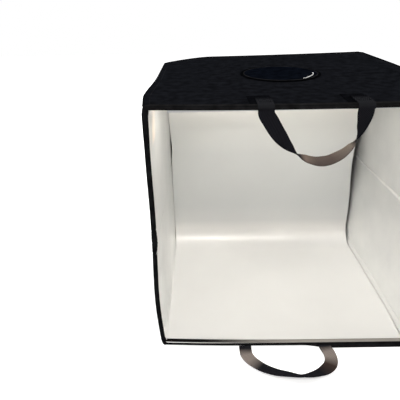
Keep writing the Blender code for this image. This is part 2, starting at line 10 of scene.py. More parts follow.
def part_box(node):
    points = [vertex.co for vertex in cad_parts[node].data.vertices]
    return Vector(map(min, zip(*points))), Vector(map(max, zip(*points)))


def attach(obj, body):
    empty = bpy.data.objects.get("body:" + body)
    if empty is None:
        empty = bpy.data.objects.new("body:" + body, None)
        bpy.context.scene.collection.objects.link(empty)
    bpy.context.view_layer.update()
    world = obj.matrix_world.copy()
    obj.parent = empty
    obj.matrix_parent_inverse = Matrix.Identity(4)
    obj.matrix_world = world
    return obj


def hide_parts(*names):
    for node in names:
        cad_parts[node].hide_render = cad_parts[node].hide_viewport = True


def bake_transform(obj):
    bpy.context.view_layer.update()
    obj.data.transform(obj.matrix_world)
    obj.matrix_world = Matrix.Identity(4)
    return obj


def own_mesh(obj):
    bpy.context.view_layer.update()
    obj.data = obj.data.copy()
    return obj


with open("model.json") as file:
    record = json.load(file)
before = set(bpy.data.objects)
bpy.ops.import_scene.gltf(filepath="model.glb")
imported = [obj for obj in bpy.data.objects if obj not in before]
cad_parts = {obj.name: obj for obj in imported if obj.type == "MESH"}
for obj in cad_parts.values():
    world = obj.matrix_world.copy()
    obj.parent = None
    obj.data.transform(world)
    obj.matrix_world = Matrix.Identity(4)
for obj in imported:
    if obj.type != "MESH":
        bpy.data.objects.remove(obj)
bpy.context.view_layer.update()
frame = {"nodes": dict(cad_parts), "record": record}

# The view: a lens a little longer than a phone's, held above the open front and to its left, and
# turned down towards the middle of the floor.
bpy.ops.object.select_all(action="DESELECT")
bpy.ops.object.camera_add(
    location=(-0.15975, -0.8703, 0.66115),
    rotation=(math.radians(62.724), math.radians(1.178), math.radians(0.043)),
)
camera = bpy.context.object
camera.name = "view_camera"
camera.data.lens = 37.2
camera.data.sensor_width = 36
bpy.context.scene.camera = camera

# The room: a pale table top under the tent, a soft lamp above, one high in front that shines in
# under the roof, a weak one at its left, one for each other side, and an even pale surround.
bpy.ops.mesh.primitive_plane_add(size=8, location=(0, 0, -0.0006))
table = bpy.context.object
table.name = "table_top"


def new_finish(name):
    """A material with its node tree and its shader."""
    made = bpy.data.materials.new(name)
    made.use_nodes = True
    return made, made.node_tree, made.node_tree.nodes["Principled BSDF"]


def feed(tree, node, feeds):
    """Give a node's inputs their own values, or the outputs that drive them."""
    for key, value in feeds.items():
        if isinstance(value, bpy.types.NodeSocket):
            tree.links.new(value, node.inputs[key])
        else:
            node.inputs[key].default_value = value
    return node


def add_node(tree, kind, feeds):
    return feed(tree, tree.nodes.new("ShaderNode" + kind), feeds)


def worked(tree, operation, *values):
    """What a maths operation makes of its values."""
    made = tree.nodes.new("ShaderNodeMath")
    made.operation = operation
    return feed(tree, made, dict(enumerate(values))).outputs[0]


def ranged(tree, value, start, end, low=0.0, high=1.0, easing="LINEAR"):
    """A value that runs from low to high while another runs from start to end."""
    made = tree.nodes.new("ShaderNodeMapRange")
    made.interpolation_type = easing
    feeds = {"Value": value, "From Min": start, "From Max": end, "To Min": low, "To Max": high}
    return feed(tree, made, feeds).outputs["Result"]


def object_place(tree):
    return tree.nodes.new("ShaderNodeTexCoord").outputs["Object"]


def plain_sight(tree):
    """One for rays that come from the camera, straight or through something clear."""
    path = tree.nodes.new("ShaderNodeLightPath").outputs
    return worked(tree, "MAXIMUM", path["Is Camera Ray"], path["Is Transmission Ray"])


white, tree, shader = new_finish("table_white")
feed(tree, shader, {
    "Base Color": (0.90, 0.90, 0.90, 1), "Roughness": 0.8, "Specular IOR Level": 0.1,
})
away = tree.nodes.new("ShaderNodeVectorMath")
away.operation = "LENGTH"
feed(tree, away, {0: object_place(tree)})
paler = ranged(tree, away.outputs["Value"], 0.7, 2.4, 0.55, 1.0)
level = worked(tree, "MULTIPLY", plain_sight(tree), paler)
lift = add_node(tree, "Emission", {"Color": (1, 1, 1, 1), "Strength": level})
both = add_node(tree, "AddShader", {0: shader.outputs[0], 1: lift.outputs[0]})
feed(tree, tree.nodes["Material Output"], {"Surface": both.outputs[0]})
table.data.materials.append(white)

world = bpy.data.worlds.new("pale_room")
world.use_nodes = True
bpy.context.scene.world = world
tree = world.node_tree
lit = feed(tree, tree.nodes["Background"], {"Color": (0.96, 0.98, 1.0, 1), "Strength": 0.16})
seen = add_node(tree, "Background", {"Color": (1, 1, 1, 1), "Strength": 1.0})
mixed = add_node(tree, "MixShader", {0: plain_sight(tree), 1: lit.outputs[0], 2: seen.outputs[0]})
feed(tree, tree.nodes["World Output"], {"Surface": mixed.outputs[0]})

for place, aim, side, watts, tint in (
    ((-0.2, 0.4, 2.3), (0, 0.1, 0.3), 1.6, 8, (1.0, 0.985, 0.96)),
    ((-0.10, -1.67, 2.13), (0, -0.05, 0.15), 0.38, 24.2, (1.0, 0.97, 0.93)),
    ((-1.5, -1.3, 1.2), (0, 0, 0.25), 1.2, 4, (0.96, 0.98, 1.0)),
    ((-2.0, 0.3, 1.1), (0, 0, 0.25), 1.4, 28, (0.97, 0.985, 1.0)),
    ((2.0, 0.4, 1.1), (0, 0, 0.25), 1.4, 28, (1.0, 1.0, 1.0)),
    ((0.2, 2.2, 1.1), (0, 0, 0.25), 1.4, 28, (1.0, 1.0, 1.0)),
):
    turn = (Vector(aim) - Vector(place)).to_track_quat("-Z", "Y").to_euler()
    bpy.ops.object.light_add(type="AREA", location=place, rotation=turn)
    lamp = bpy.context.object
    lamp.data.size = side
    lamp.data.energy = watts
    lamp.data.color = tint
bpy.context.scene.view_settings.view_transform = "Standard"


# Base: a stiff board covered in black woven cloth, flat on the table, rolled over the board's edge
# and round at its corners. Like all the tent it stands a little off square, as soft frames do.
WIDTH, HALF = 0.5, 0.25
CREASE_Z = 0.2477


def part_way(value, start, length):
    """How far a value has come from start over a length, from 0 to 1."""
    return min(1.0, max(0.0, (value - start) / length))


def bell(value, middle, spread):
    """One at the middle, and less with each spread away from it."""
    return math.exp(-(((value - middle) / spread) ** 2))


def front_swell(x):
    """How far the base's front edge stands out at the right, past the handle's end."""
    share = part_way(x, 0.035, 0.06)
    return 0.0085 * share * share * (3 - 2 * share)


def slack(point):
    """Where a point of a square tent really stands, with its front open and its cloth loose."""
    x, y, z = point
    across, back, high = x / WIDTH + 0.5, y / WIDTH + 0.5, z / WIDTH
    left, right, front = max(0.0, 1 - across) ** 6, max(0.0, across) ** 5, max(0.0, 1 - back)
    # At the opening the left wall bows out below its fold and in above it, and under the roof it
    # bulges again. The roof's rear left corner is drawn out and hangs.
    fold = 0.0022 * bell(z, CREASE_Z, 0.05)
    bow = (0.0066 if z < CREASE_Z else -0.0018) * math.sin(math.pi * max(0.0, z) / CREASE_Z)
    opening = bell(y, -HALF, 0.085)
    corner = max(0.0, 1 - across / 0.22) ** 1.5 * max(0.0, (back - 0.6) / 0.4) ** 1.5 * high**3
    x -= left * opening * (0.0018 + bow + fold) + 0.006 * corner
    x -= left * 0.0085 * high**4 * bell(y, -0.17, 0.055 if y < -0.17 else 0.10)
    # The right wall leans out to the front, where its binding holds it.
    held = 1 - 0.65 * part_way(front, 0.7, 0.3) ** 2
    x += right * front * held * (0.010 + 0.007 * high)
    # The left of the front stands back, the roof sags along its front edge and rises to the right,
    # and the base's front edge swells.
    y += 0.009 * max(0.0, 1 - across) ** 4 * front**2 * (0.75 + 0.25 * high)
    z -= 0.013 * corner + 0.0015 * math.sin(math.pi * part_way(across, 0, 1)) * front**2 * high**6
    z += 0.0050 * max(0.0, across) ** 2.2 * part_way(1.6 * back, 0, 1) * high**6
    y -= front_swell(x) * min(1.0, front) ** 14 * max(0.0, 1 - z / 0.005)
    return Vector((x, y, z))


def alone(obj):
    bpy.ops.object.select_all(action="DESELECT")
    bpy.context.view_layer.objects.active = obj
    obj.select_set(True)


def apply_all(obj):
    alone(obj)
    for modifier in list(obj.modifiers):
        bpy.ops.object.modifier_apply(modifier=modifier.name)


def laid(name, across, along, place):
    """A grid of cloth whose point (u, v) lies at place(u, v); its UV map is (u, v)."""
    bpy.ops.object.select_all(action="DESELECT")
    bpy.ops.mesh.primitive_grid_add(
        x_subdivisions=across, y_subdivisions=along, size=1, calc_uvs=True, location=(0, 0, 0)
    )
    obj = bpy.context.object
    obj.name = name
    for vertex in obj.data.vertices:
        vertex.co = slack(place(vertex.co.x + 0.5, vertex.co.y + 0.5))
    return obj


def weld():
    """Merge the doubled points of the active mesh and turn its faces outwards."""
    bpy.ops.object.mode_set(mode="EDIT")
    bpy.ops.mesh.select_all(action="SELECT")
    bpy.ops.mesh.remove_doubles(threshold=0.00001)
    bpy.ops.mesh.normals_make_consistent(inside=False)
    bpy.ops.object.mode_set(mode="OBJECT")


def thicken(obj, outward, thickness, finish):
    """Merge the grid, turn its faces outward, give it its thickness inwards, and its finish."""
    alone(obj)
    weld()
    if sum(face.normal.dot(Vector(outward)) * face.area for face in obj.data.polygons) < 0:
        bpy.ops.object.mode_set(mode="EDIT")
        bpy.ops.mesh.select_all(action="SELECT")
        bpy.ops.mesh.flip_normals()
        bpy.ops.object.mode_set(mode="OBJECT")
    wall = obj.modifiers.new("cloth", "SOLIDIFY")
    wall.thickness = thickness
    wall.offset = -1
    apply_all(obj)
    bpy.ops.object.shade_smooth_by_angle(angle=math.radians(50))
    obj.data.materials.append(finish)


def speckle(tree, place, scale, detail=2.0):
    """Noise over a surface; a scale of 60 is about 60 specks to the metre."""
    made = add_node(tree, "TexNoise", {"Vector": place, "Scale": scale, "Detail": detail})
    return made.outputs["Fac"]


def bands(tree, place, direction, pitch, wander=0.0, wander_scale=1.0):
    """Even bands a pitch apart, as threads and ribs lie; they wander a little."""
    made = tree.nodes.new("ShaderNodeTexWave")
    made.bands_direction = direction
    return feed(tree, made, {
        "Vector": place, "Scale": math.pi / 10 / pitch,  # the texture's bands lie pi / 10 apart
        "Distortion": wander, "Detail Scale": wander_scale,
    }).outputs["Fac"]


def ramp(tree, source, stops):
    """Colours along a number; stops are (position, colour)."""
    made = tree.nodes.new("ShaderNodeValToRGB")
    while len(made.color_ramp.elements) < len(stops):
        made.color_ramp.elements.new(0.5)
    for stop, (position, colour) in zip(made.color_ramp.elements, stops):
        stop.position = position
        stop.color = (*colour, 1)
    return feed(tree, made, {"Fac": source}).outputs["Color"]


def relief(tree, height, depth, strength, finer=None):
    """Bump of a depth in metres, over a finer one where there is one."""
    feeds = {"Height": height, "Distance": depth, "Strength": strength}
    if finer is not None:
        feeds["Normal"] = finer
    return add_node(tree, "Bump", feeds).outputs["Normal"]


def cloth(name, colour, thread, depth, roughness, gloss=0.03):
    """A dull woven cloth; thread is the weave's pitch and depth its relief, in metres."""
    made, tree, shader = new_finish(name)
    place = object_place(tree)
    ways = [bands(tree, place, axis, thread, 0.6, 2.0) for axis in "XYZ"]
    weave = worked(tree, "ADD", worked(tree, "ADD", ways[0], ways[1]), ways[2])
    loose = speckle(tree, place, 9.0, 3.0)
    lint = speckle(tree, place, 60.0, 5.0)
    feed(tree, shader, {
        "Base Color": ramp(tree, lint, [
            (0.35, [c * 0.7 for c in colour]), (0.75, [c * 1.6 for c in colour])
        ]),
        "Roughness": ranged(tree, loose, 0.0, 1.0, roughness - 0.08, roughness + 0.08),
        "Normal": relief(tree, loose, 0.004, 0.35, relief(tree, weave, depth, 0.5)),
        "Specular IOR Level": gloss,
    })
    return made


CORNER_R, ROLLED, PITCH = 0.0070, 0.0022, 0.012


def stations(length):
    """Grid lines along one side of a panel, close over its rolled edges; True marks the skirt."""
    near = [0.0, 0.12 * ROLLED, 0.35 * ROLLED, 0.65 * ROLLED, ROLLED, 2.5 * ROLLED]
    count = max(2, round((length - 5 * ROLLED) / PITCH))
    middle = [2.5 * ROLLED + (length - 5 * ROLLED) * i / count for i in range(1, count)]
    line = near + middle + [length - a for a in reversed(near)]
    return [(line[0], True)] + [(a, False) for a in line] + [(line[-1], True)]


def item_at(row, share):
    """The item that lies at a share of a row, from 0 to 1."""
    return row[round(share * (len(row) - 1))]


def panel_skin(node, axis, outward, body):
    """Cloth drawn over one board, in place of that panel's plain cover."""
    low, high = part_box(node)
    depth, ripples = high[axis] - low[axis], 0.0005
    a, b = [k for k in range(3) if k != axis]
    size_a, size_b = high[a] - low[a], high[b] - low[b]
    line_a, line_b = stations(size_a), stations(size_b)
    face = high[axis] if outward > 0 else low[axis]

    def place(u, v):
        """A point of the cloth: rounded at the corners, rolled at the rim, rippled between."""
        p, skirt_a = item_at(line_a, u)
        q, skirt_b = item_at(line_b, v)
        rim = min(p, size_a - p, q, size_b - q)
        centre_a = min(max(p, CORNER_R), size_a - CORNER_R)
        centre_b = min(max(q, CORNER_R), size_b - CORNER_R)
        off_a, off_b = p - centre_a, q - centre_b
        if abs(off_a) > 1e-9 and abs(off_b) > 1e-9:
            shrink = max(abs(off_a), abs(off_b)) / math.hypot(off_a, off_b)
            p, q = centre_a + off_a * shrink, centre_b + off_b * shrink
        point = Vector((0, 0, 0))
        point[a], point[b] = low[a] + p, low[b] + q
        ripple = noise.noise(point * 14) * ripples * min(1.0, rim / 0.02)
        roll = ROLLED - math.sqrt(max(0.0, ROLLED**2 - max(0.0, ROLLED - rim) ** 2))
        drop = depth if skirt_a or skirt_b else roll + ripples - ripple
        point[axis] = face - outward * drop
        return point

    skin = laid(node.replace("cover", "skin"), len(line_a) - 1, len(line_b) - 1, place)
    facing = Vector((0, 0, 0))
    facing[axis] = outward
    thicken(skin, facing, 0.0011, oxford)
    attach(skin, body)
    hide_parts(node)
    return skin


def tube(name, points, radius, material, body):
    """A round cord that follows points and closes on itself, as a mesh."""
    line = []
    for start, end in zip(points, points[1:] + points[:1]):
        parts = max(1, round((end - start).length / 0.016))
        line += [start.lerp(end, i / parts) for i in range(parts)]
    curve = bpy.data.curves.new(name, "CURVE")
    curve.dimensions = "3D"
    curve.bevel_depth = radius
    curve.bevel_resolution = 2
    spline = curve.splines.new("POLY")
    spline.points.add(len(line) - 1)
    for knot, point in zip(spline.points, line):
        knot.co = (*slack(point), 1)
    spline.use_cyclic_u = True
    obj = bpy.data.objects.new(name, curve)
    bpy.context.scene.collection.objects.link(obj)
    alone(obj)
    bpy.ops.object.convert(target="MESH")
    weld()
    bpy.ops.object.shade_smooth_by_angle(angle=math.radians(60))
    obj.data.materials.append(material)
    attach(obj, body)


def piping(node, axis, at, body):
    """A corded bead sewn into a panel's rounded rim, all the way round it."""
    low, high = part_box(node)
    bead = 0.0013
    a, b = [k for k in range(3) if k != axis]
    points = []
    for centre_a, centre_b, start in (
        (high[a] - CORNER_R, high[b] - CORNER_R, 0),
        (low[a] + CORNER_R, high[b] - CORNER_R, 90),
        (low[a] + CORNER_R, low[b] + CORNER_R, 180),
        (high[a] - CORNER_R, low[b] + CORNER_R, 270),
    ):
        for i in range(6):
            turn = math.radians(start + 18 * i)
            point = Vector((0, 0, 0))
            point[a] = centre_a + (CORNER_R - bead / 2) * math.cos(turn)
            point[b] = centre_b + (CORNER_R - bead / 2) * math.sin(turn)
            point[axis] = at
            points.append(point)
    tube(node.replace("cover", "piping"), points, bead, tape, body)


oxford = cloth("black_oxford", (0.0072, 0.0078, 0.0098), 0.0008, 0.0003, 0.8, 0.0)
tape = cloth("black_tape", (0.0092, 0.0092, 0.0100), 0.0011, 0.0004, 0.65, 0.0)
panel_skin("bottom_cover", 2, -1, "base")
piping("bottom_cover", 2, 0.0022, "base")

# Boards: pale hollow plastic sheets that stiffen every panel. They are sealed in between the cloth
# and the lining, so they show at no side and only follow the panels' slack.
node_body = {
    node: body
    for body, nodes in frame["record"]["behaviour"]["bodies"].items()
    for node in nodes
}


def eased(node, material):
    """A finer copy of a part that follows the tent's slack and stands for it."""
    source = frame["nodes"][node]
    obj = source.copy()
    obj.data = source.data.copy()
    for key in list(obj.keys()):
        del obj[key]
    obj.parent = None
    obj.matrix_world = Matrix.Identity(4)
    obj.name = node + "_eased"
    bpy.context.scene.collection.objects.link(obj)
    alone(obj)
    bpy.ops.object.mode_set(mode="EDIT")
    bpy.ops.mesh.select_all(action="SELECT")
    bpy.ops.mesh.remove_doubles(threshold=0.000005)
    bpy.ops.mesh.subdivide(number_cuts=5)
    bpy.ops.object.mode_set(mode="OBJECT")
    for vertex in obj.data.vertices:
        vertex.co = slack(vertex.co)
    bpy.ops.object.shade_smooth_by_angle(angle=math.radians(35))
    obj.data.materials.clear()
    obj.data.materials.append(material)
    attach(obj, node_body[node])
    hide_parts(node)


def speckled(name, scale, dark, pale, roughness):
    """A smooth finish whose colour wanders between two tones."""
    made, tree, shader = new_finish(name)
    tone = ramp(tree, speckle(tree, object_place(tree), scale), [(0.0, dark), (1.0, pale)])
    feed(tree, shader, {"Base Color": tone, "Roughness": roughness})
    return made


board = speckled("pale_board", 40, (0.50, 0.50, 0.47), (0.60, 0.60, 0.57), 0.6)
for node in ("bottom_board", "top_board", "back_board", "left_lower_board", "left_upper_board",
             "right_lower_board", "right_upper_board"):
    eased(node, board)

# Side walls: two boards in cloth with a level fold between them, each panel hemmed all round. They
# hang between padded rails on the base and the roof, with a corded seam along the fold outside.
STITCH_PITCH, STITCH_LENGTH, THREAD_R = 0.0052, 0.0036, 0.00034


def stitches(name, runs, body):
    """Rows of thread stitches; each run goes from its first point to its last, on the cloth."""
    rows = []
    for first, last in runs:
        first, last = Vector(first), Vector(last)
        run = last - first
        count = max(2, round(run.length / STITCH_PITCH))
        start = first + run / count / 2
        turn = run.to_track_quat("Z", "Y").to_euler()
        bpy.ops.object.select_all(action="DESELECT")
        bpy.ops.mesh.primitive_cylinder_add(
            vertices=6, radius=THREAD_R, depth=STITCH_LENGTH, location=start, rotation=turn
        )
        row = bpy.context.object
        bpy.ops.object.transform_apply(location=True, rotation=True, scale=True)
        pinch = row.modifiers.new("pulled_ends", "BEVEL")
        pinch.width = 0.00016
        pinch.segments = 1
        copies = row.modifiers.new("row", "ARRAY")
        copies.use_relative_offset = False
        copies.use_constant_offset = True
        copies.constant_offset_displace = run / count
        copies.count = count
        apply_all(row)
        rows.append(row)
    alone(rows[0])
    for row in rows:
        row.select_set(True)
    bpy.ops.object.join()
    seam = bpy.context.object
    seam.name = name
    for vertex in seam.data.vertices:
        vertex.co = slack(vertex.co)
    seam.data.materials.append(thread)
    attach(seam, body)
    return seam


HEM_IN = 0.0105


def hem(node, axis, at, body):
    """Four rows of stitches round a panel's face."""
    low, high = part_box(node)
    a, b = [k for k in range(3) if k != axis]
    low_a, high_a = low[a] + HEM_IN, high[a] - HEM_IN
    low_b, high_b = low[b] + HEM_IN, high[b] - HEM_IN
    corners = []
    for p, q in ((low_a, low_b), (high_a, low_b), (high_a, high_b), (low_a, high_b)):
        corner = Vector((0, 0, 0))
        corner[a], corner[b], corner[axis] = p, q, at
        corners.append(corner)
    stitches(node.replace("cover", "hem"), list(zip(corners, corners[1:] + corners[:1])), body)


thread = cloth("black_thread", (0.0200, 0.0200, 0.0220), 0.0005, 0.0001, 0.5, 0.0)
SEAM_AT, HEM_AT = 0.2494, 0.2496
for side, outward in (("left", -1), ("right", 1)):
    for panel in (f"{side}_lower", f"{side}_upper"):
        panel_skin(panel + "_cover", 0, outward, panel)
        piping(panel + "_cover", 0, outward * SEAM_AT, panel)
        hem(panel + "_cover", 0, outward * HEM_AT, panel)
for node in ("bottom_left_edge", "bottom_right_edge", "left_crease_welt", "right_crease_welt",
             "top_left_edge", "top_right_edge", "back_hinge_welt"):
    eased(node, oxford)

# Back panel: one board in cloth that folds up from the base's rear edge and closes against the
# roof with hook-and-loop tape. Its inside is plain black cloth, hidden by the sheet.
panel_skin("back_cover", 1, 1, "back")
piping("back_cover", 1, SEAM_AT, "back")
hem("back_cover", 1, HEM_AT, "back")
eased("back_lining", oxford)
pile = cloth("hook_pile", (0.006, 0.006, 0.007), 0.0014, 0.0008, 0.9)
for node in ("back_hook_tape", "top_loop_tape", "backdrop_hook_tape"):
    eased(node, pile)

# Roof: a board in cloth with a round port through its middle, whose edge is bound by a raised ring
# of tape. The hole is cut through the stretched cloth before the ring goes on.
HOLE_R = 0.0766
roof = panel_skin("top_cover", 2, 1, "roof")
bpy.ops.object.select_all(action="DESELECT")
bpy.ops.mesh.primitive_cylinder_add(vertices=96, radius=HOLE_R, depth=0.05, location=(0, 0, 0.497))
punch = bpy.context.object
hole = roof.modifiers.new("port", "BOOLEAN")
hole.operation = "DIFFERENCE"
hole.solver = "EXACT"
hole.object = punch
apply_all(roof)
bpy.data.objects.remove(punch)
piping("top_cover", 2, HALF + SEAM_AT, "roof")
hem("top_cover", 2, HALF + HEM_AT, "roof")


def refinish(node, finish):
    """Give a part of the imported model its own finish."""
    materials = frame["nodes"][node].data.materials
    materials.clear()
    materials.append(finish)


# Painted shade: the ring's tape is darker than the roof cloth, partly its own black and partly the
# shade that lies round the port.
refinish("port_rim", cloth("rim_tape_painted_shade", (0.0020, 0.0022, 0.0028), 0.0011, 0.0004, 0.8, 0.0))

# Port cover: a limp disc of dark cloth with a pale underside and a corded edge, whose grey is a
# painted highlight. It turns on a tongue at the back, and its edge curls over at the right of its
# front and shows its pale side, which is a painted highlight for the light at the port's edge.
PORT_R = 0.072
DISC_X, DISC_Y = -0.0018, 0.0018
LIP_TURN, LIP_SPREAD = -28, 25
cover_cloth = cloth("cover_cloth", (0.0027, 0.0037, 0.0064), 0.0008, 0.0002, 0.85, 0.0)
# Painted highlight: the corded edge is grey, lighter than the cloth, for the light along the port's
# front rim.
cover_edge = cloth("cover_edge", (0.019, 0.019, 0.020), 0.0008, 0.0002, 0.8, 0.0)
under = speckled("pale_underside", 300, (0.74, 0.74, 0.72), (0.84, 0.84, 0.82), 0.5)


def disc_point(x, y, above=0.0):
    """A point on the disc's upper face: a little hollow, with a lip at the right of its front."""
    share = min(1.0, math.hypot(x, y) / PORT_R)
    turn = math.degrees(math.atan2(y, x))
    lip = max(0.0, 1 - ((turn - LIP_TURN) / LIP_SPREAD) ** 2)
    sag = 0.0010 * (1 - share**2)
    height = 0.5010 - sag + 0.0009 * lip * share**5
    return Vector((DISC_X + x, DISC_Y + y, height + above))


def disc_reach(turn):
    """The disc's radius: it hangs a little further out at the right of its front."""
    return PORT_R + 0.0046 * max(0.0, math.cos(turn + 0.55)) ** 4


def disc_place(u, v):
    p, q = 2 * u - 1, 2 * v - 1
    far = max(abs(p), abs(q))
    if far > 0:
        p, q = p * far / math.hypot(p, q), q * far / math.hypot(p, q)
    reach = disc_reach(math.atan2(q, p))
    return disc_point(reach * p, reach * q)


disc = laid("port_cover_cloth", 36, 36, disc_place)
thicken(disc, (0, 0, 1), 0.0016, cover_cloth)
disc.data.materials.append(under)
for face in disc.data.polygons:
    off_x, off_y = face.center.x - DISC_X, face.center.y - DISC_Y
    if face.normal.z < -0.35 and math.hypot(off_x, off_y) < PORT_R - 0.0005:
        face.material_index = 1
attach(disc, "port_cover")
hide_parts("port_cover")
border = []
for i in range(72):
    turn = math.radians(5 * i)
    reach = disc_reach(turn)
    border.append(disc_point(reach * math.cos(turn), reach * math.sin(turn), -0.0006))
tube("port_cover_edge", border, 0.0009, cover_edge, "port_cover")


def curl_place(u, v):
    """The curled edge: it narrows and leaves the rim from its middle to its front end."""
    turn = math.radians(54 * u - 60)
    full = math.sin(math.pi * min(1.0, 0.08 + 0.84 * u)) ** 0.6
    out = PORT_R - 0.0012 - 0.0050 * u**1.3 + 0.0008 * full * (2 * v - 1)
    crown = 0.0011 * full * math.sin(math.pi * v)
    return disc_point(out * math.cos(turn), out * math.sin(turn), 0.0002 + crown)


# Painted highlight: the pale curl stands for the bright crescent of light at the port's right
# front.
curl = laid("port_cover_curl", 32, 6, curl_place)
thicken(curl, (0, 0, 1), 0.0006, under)
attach(curl, "port_cover")


def tongue_place(u, v):
    """The sewn tongue, from the disc's rear edge up onto the roof."""
    rise = v * v * (3 - 2 * v)
    return Vector((DISC_X + (u - 0.5) * 0.034, 0.0680 + 0.0155 * v, 0.5006 + 0.0020 * rise))


tongue = laid("port_cover_tongue", 6, 10, tongue_place)
thicken(tongue, (0, 0, 1), 0.0012, oxford)
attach(tongue, "port_cover")
port_seam = stitches(
    "port_cover_seam",
    [((DISC_X - 0.014, y, z), (DISC_X + 0.014, y, z))
     for y, z in ((0.0812, 0.5027), (0.0788, 0.5026))],
    "port_cover",
)
port_seam.data.materials[0] = oxford

# Lining: silver-coated cloth with a fine pebbled emboss, glued to the boards and sewn in at the
# front. It has a soft shine, and it runs over the walls' fold without a break.


def toned(tree, colour, shade):
    """A colour times a shade, which is a number or a colour."""
    made = tree.nodes.new("ShaderNodeVectorMath")
    made.operation = "MULTIPLY"
    return feed(tree, made, {0: colour, 1: shade}).outputs[0]


silver, tree, shader = new_finish("silver_lining")
place = object_place(tree)
axes = add_node(tree, "SeparateXYZ", {0: place}).outputs
pebble = tree.nodes.new("ShaderNodeTexVoronoi")
pebble.feature = "SMOOTH_F1"
feed(tree, pebble, {"Vector": place, "Scale": 420})
pebbled = relief(tree, pebble.outputs["Distance"], 0.0005, 0.6)
creases = speckle(tree, place, 11, 4)
tone = ramp(tree, creases, [(0.3, (0.66, 0.665, 0.66)), (0.7, (0.76, 0.76, 0.75))])
# Painted light: the lining is paler low on the walls, as if lit by the floor's bounce, and darker
# higher up.
painted_bounce_tone = toned(tree, tone, ranged(tree, axes["Z"], 0.02, 0.34, 1.27, 0.86, "SMOOTHSTEP"))

# High on the left wall a painted highlight, the front lamp's warm light on the coat, lies in a
# streak that leans back as it rises.
lean = worked(tree, "MULTIPLY_ADD", axes["Z"], -0.6, 0.4070)
aside = worked(tree, "ABSOLUTE", worked(tree, "ADD", axes["Y"], lean))
painted_lamp_glow = ranged(tree, aside, 0.006, 0.030, 1.0, 0.0, "SMOOTHSTEP")
for axis, start, end, low, high in (
    ("Z", 0.408, 0.424, 0.0, 1.0), ("Z", 0.43, 0.475, 0.9, 0.15), ("X", -0.22, -0.20, 1.0, 0.0),
):
    fade = ranged(tree, axes[axis], start, end, low, high, "SMOOTHSTEP")
    painted_lamp_glow = worked(tree, "MULTIPLY", painted_lamp_glow, fade)
lamp_glow_mix = tree.nodes.new("ShaderNodeMix")
lamp_glow_mix.data_type = "RGBA"
MIX_A, MIX_B, MIX_RESULT = 6, 7, 2  # the node's sockets for colours
feed(tree, lamp_glow_mix, {0: painted_lamp_glow, MIX_A: painted_bounce_tone, MIX_B: (0.90, 0.78, 0.67, 1)})
feed(tree, shader, {
    "Base Color": lamp_glow_mix.outputs[MIX_RESULT], "Metallic": 0.3, "Roughness": 0.34,
    "Normal": relief(tree, creases, 0.005, 0.25, pebbled),
})
for node in ("bottom_lining", "top_lining"):
    eased(node, silver)


def steps(start, end, pitch):
    count = max(1, round(abs(end - start) / pitch))
    return [start + (end - start) * i / count for i in range(count + 1)]


WALL_FOOT, WALL_HEAD, LINING_BACK = 0.0175, 0.4790, 0.2400


def wall_lining(side, inward):
    """One length of lining over both panels of a wall; inward is the way to the tent's inside."""
    # Heights above the fold, and how far the lining stands in there.
    fold = [
        (-0.0300, 0.0), (-0.0200, 0.0004), (-0.0110, 0.0010), (-0.0040, 0.0016), (-0.0018, 0.0019),
        (-0.0006, 0.0016), (0.0006, 0.0002), (0.0014, -0.0006), (0.0026, -0.0002), (0.0045, 0.0),
    ]
    seen = CREASE_Z + (0.0075 if side == "right" else 0.0)
    rows = [(z, 0.0) for z in steps(WALL_FOOT, seen - 0.038, 0.008)]
    rows += [(seen + rise, depth) for rise, depth in fold]
    rows += [(z, 0.0) for z in steps(seen + 0.012, WALL_HEAD, 0.008)]
    lines = steps(-0.2485, LINING_BACK, 0.007)
    sharp = 1.9 if side == "right" else 0.15

    def place(u, v):
        y = item_at(lines, u)
        z, fold_depth = item_at(rows, v)
        near = min(1.0, max(0.7, (0.06 - y) / 0.15))
        wave = 0.0009 * noise.noise(Vector((y * 9, z * 7, 3.0 * inward)))
        return Vector((inward * (fold_depth * sharp * near + wave - 0.2441), y, z))

    lining = laid(f"{side}_wall_lining", len(lines) - 1, len(rows) - 1, place)
    thicken(lining, (inward, 0, 0), 0.0006, silver)
    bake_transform(lining)
    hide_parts(f"{side}_lower_lining", f"{side}_upper_lining")


def rail_strip(name, section, inward):
    """A narrow strip of lining that leads from a wall over the padded rail beside it."""
    lines = steps(-0.2430, LINING_BACK, 0.012)

    def place(u, v):
        out, z = item_at(section, v)
        return Vector((-inward * out, item_at(lines, u), z))

    strip = laid(name, len(lines) - 1, len(section) - 1, place)
    thicken(strip, (inward, 0, 0), 0.0005, silver)
    return strip


# Sections of the strips: distance from the tent's middle, and height.
FOOT = [(0.2408, 0.0069), (0.2409, 0.0090), (0.2412, 0.0115), (0.2424, 0.0150), (0.2437, 0.0200)]
HEAD = [(0.2437, 0.4765), (0.2424, 0.4810), (0.2412, 0.4845), (0.2409, 0.4900), (0.2408, 0.4938)]
for side, inward in (("left", 1), ("right", -1)):
    wall_lining(side, inward)
    foot = rail_strip(f"{side}_foot_strip", FOOT, inward)
    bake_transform(foot)
    head = rail_strip(f"{side}_head_strip", HEAD, inward)
    if side == "left":
        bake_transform(head)
    else:
        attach(head, "roof")

# Binding: black ribbed tape folded over the front edges of walls, roof and base, and stitched
# through. On the walls it is one length, so it bunches up where the wall folds.
# The tape's section: share of its half width, and how far it lies behind the tent's front plane.
TAPE_SECTION = [
    (-1.0, 0.0085), (-1.0, 0.0030), (-0.88, 0.0010), (-0.5, -0.0006), (0.0, -0.0012),
    (0.5, -0.0006), (0.88, 0.0010), (1.0, 0.0030), (1.0, 0.0085),
]
BIND_X, BIND_R, BIND_THICK, BIND_SEAM_Y = 0.2472, 0.0040, 0.0007, -0.2432


def swell(z):
    """How full the wall's binding is: wide at the top, bunched and pinched at the fold."""
    full = 0.96 + 0.10 * part_way(z, 0.262, 0.012) + 0.12 * part_way(z, 0.43, 0.03)
    off = z - 0.251
    if abs(off) < 0.030:
        full += 0.26 * math.cos(math.pi * off / 0.060) ** 2 + 0.05 * math.sin(off * 900)
    for notch in (0.2275, 0.2505, 0.2745):
        full -= 0.20 * bell(z, notch, 0.0016)
    return full


